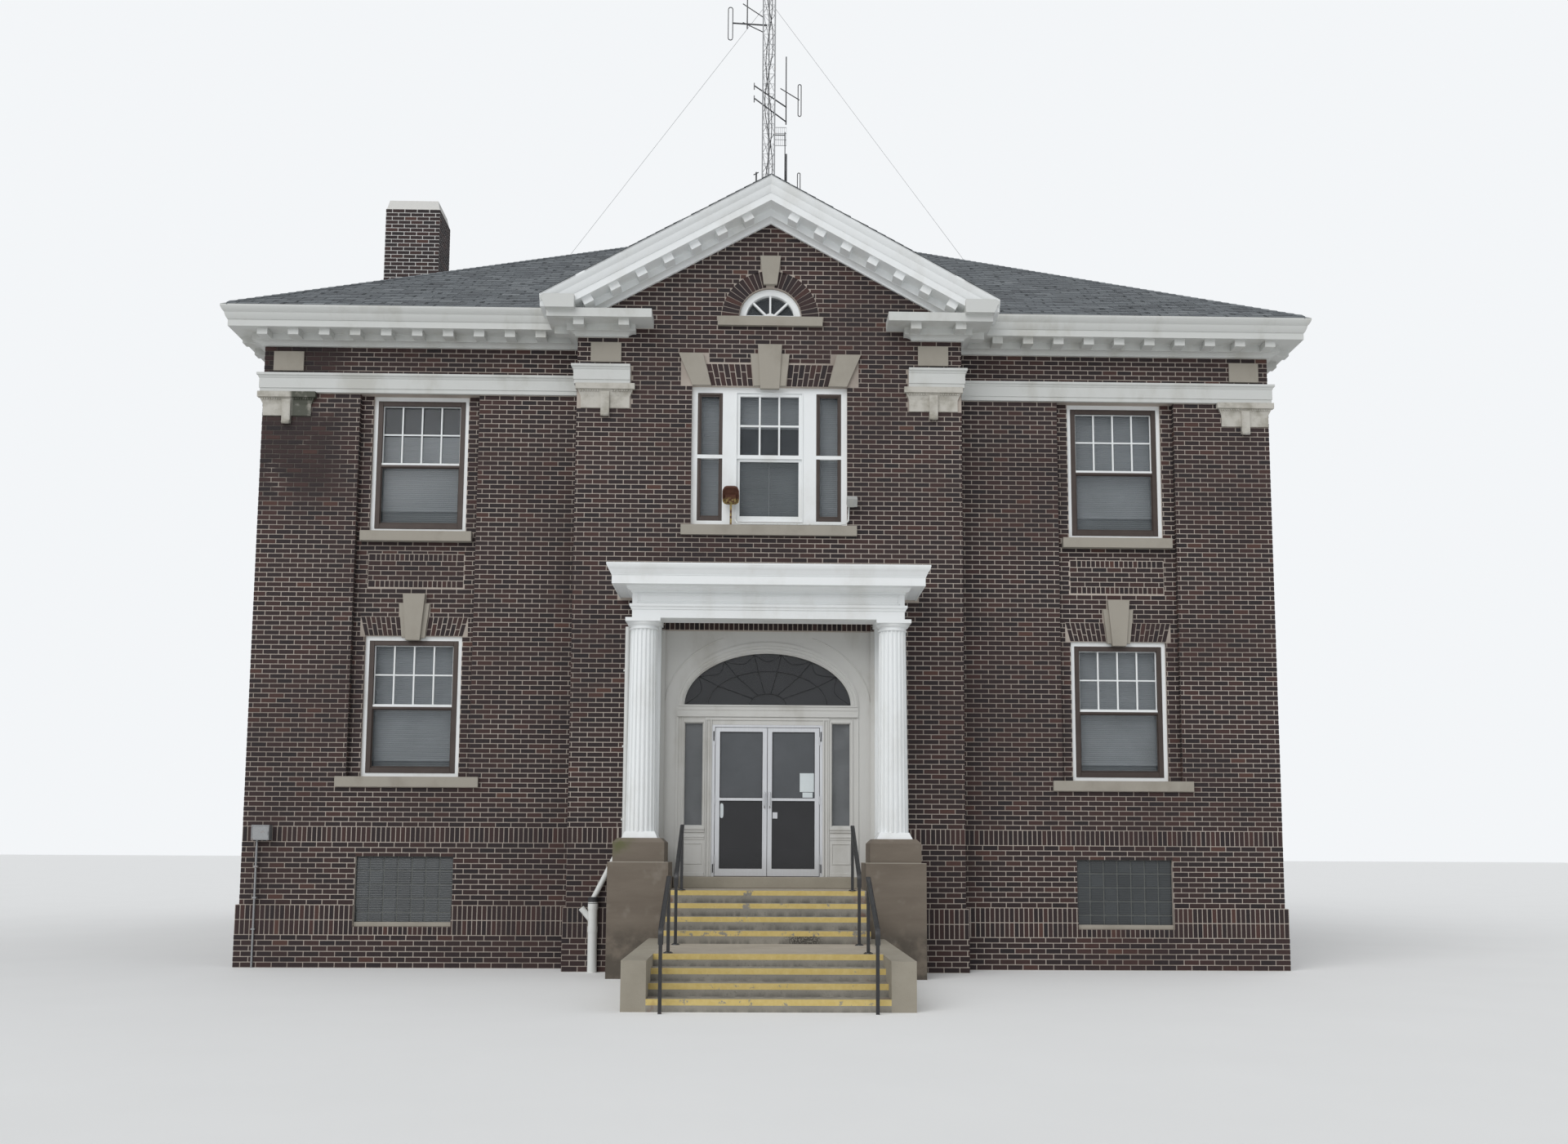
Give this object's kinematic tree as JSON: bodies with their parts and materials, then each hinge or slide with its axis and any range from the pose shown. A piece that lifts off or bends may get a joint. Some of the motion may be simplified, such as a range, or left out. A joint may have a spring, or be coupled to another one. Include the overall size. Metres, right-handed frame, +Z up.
{
  "type": "town hall",
  "caption": "Two-storey brick town hall with a hipped roof, a pedimented centre bay, a columned porch and double entrance doors.",
  "frame": {"origin": "on the building's centre line, in the plane of the wing walls, level with the walk at the foot of the steps", "axes": "+X to the right along the front, +Y from the front into the building, +Z up"},
  "size_m": [16.3, 22.472, 21.603],
  "materials": {
    "brick": "dark purple-brown brick with pale mortar",
    "floor_boards": "plain boards",
    "concrete": "rough concrete, worn",
    "shingles": "mineral granules on asphalt shingles",
    "white_paint": "white paint",
    "limestone": "smooth sawn stone",
    "sandstone": "tooled brown stone, weathered",
    "clear_glass": "window glass",
    "glass_blocks": "ribbed glass blocks in mortar",
    "white_aluminium": "pale aluminium finish",
    "black_paint": "black gloss paint",
    "galvanised_steel": "weathered zinc",
    "white_metal": "white coating",
    "rusty_metal": "rusted paint"
  },
  "bodies": {
    "building": {"antenna_mast": "galvanised_steel", "architrave_band": "white_paint", "attic_floor": "floor_boards", "back_wall": "brick", "basement_floor": "concrete", "basement_glass_blocks": "glass_blocks", "bay_wall_left": "brick", "bay_wall_right": "brick", "bay_wall_upper": "brick", "chimney": "brick", "column_left": "white_paint", "column_right": "white_paint", "cornice_back": "white_paint", "cornice_front": "white_paint", "cornice_returns": "white_paint", "cornice_sides": "white_paint", "door_frame": "white_aluminium", "downspout": "white_metal", "entrance_floor": "concrete", "entrance_glass": "clear_glass", "entrance_surround": "white_paint", "floodlights": "rusty_metal", "frieze_tablets": "limestone", "gable_roof": "shingles", "guy_wires": "galvanised_steel", "handrails": "black_paint", "keystones": "limestone", "lower_steps": "concrete", "lunette_window": "white_paint", "main_floor": "floor_boards", "pedestal_left": "sandstone", "pedestal_right": "sandstone", "pediment_rakes": "white_paint", "pier_capitals": "white_paint", "portico_entablature": "white_paint", "portico_pilasters": "white_paint", "roof_back": "shingles", "roof_front": "shingles", "roof_left": "shingles", "roof_right": "shingles", "side_wall_left": "brick", "side_wall_right": "brick", "step_cheeks": "concrete", "upper_floor": "floor_boards", "upper_steps": "concrete", "utility_box": "galvanised_steel", "window_frames": "white_paint", "window_glass": "clear_glass", "window_sills": "limestone", "wing_wall_left": "brick", "wing_wall_right": "brick"},
    "leaf_left": {"door_left": "white_aluminium", "door_glass_left": "clear_glass"},
    "leaf_right": {"door_right": "white_aluminium", "door_glass_right": "clear_glass"}
  },
  "joints": [
    {"name": "door_left_hinge", "type": "hinge", "parent": "building", "child": "leaf_left", "pos_m": [-0.753, -0.485, 1.353], "axis": [0, 0, -1], "range_deg": [0, 90]},
    {"name": "door_right_hinge", "type": "hinge", "parent": "building", "child": "leaf_right", "pos_m": [0.753, -0.485, 1.353], "axis": [0, 0, 1], "range_deg": [0, 90]}
  ]
}
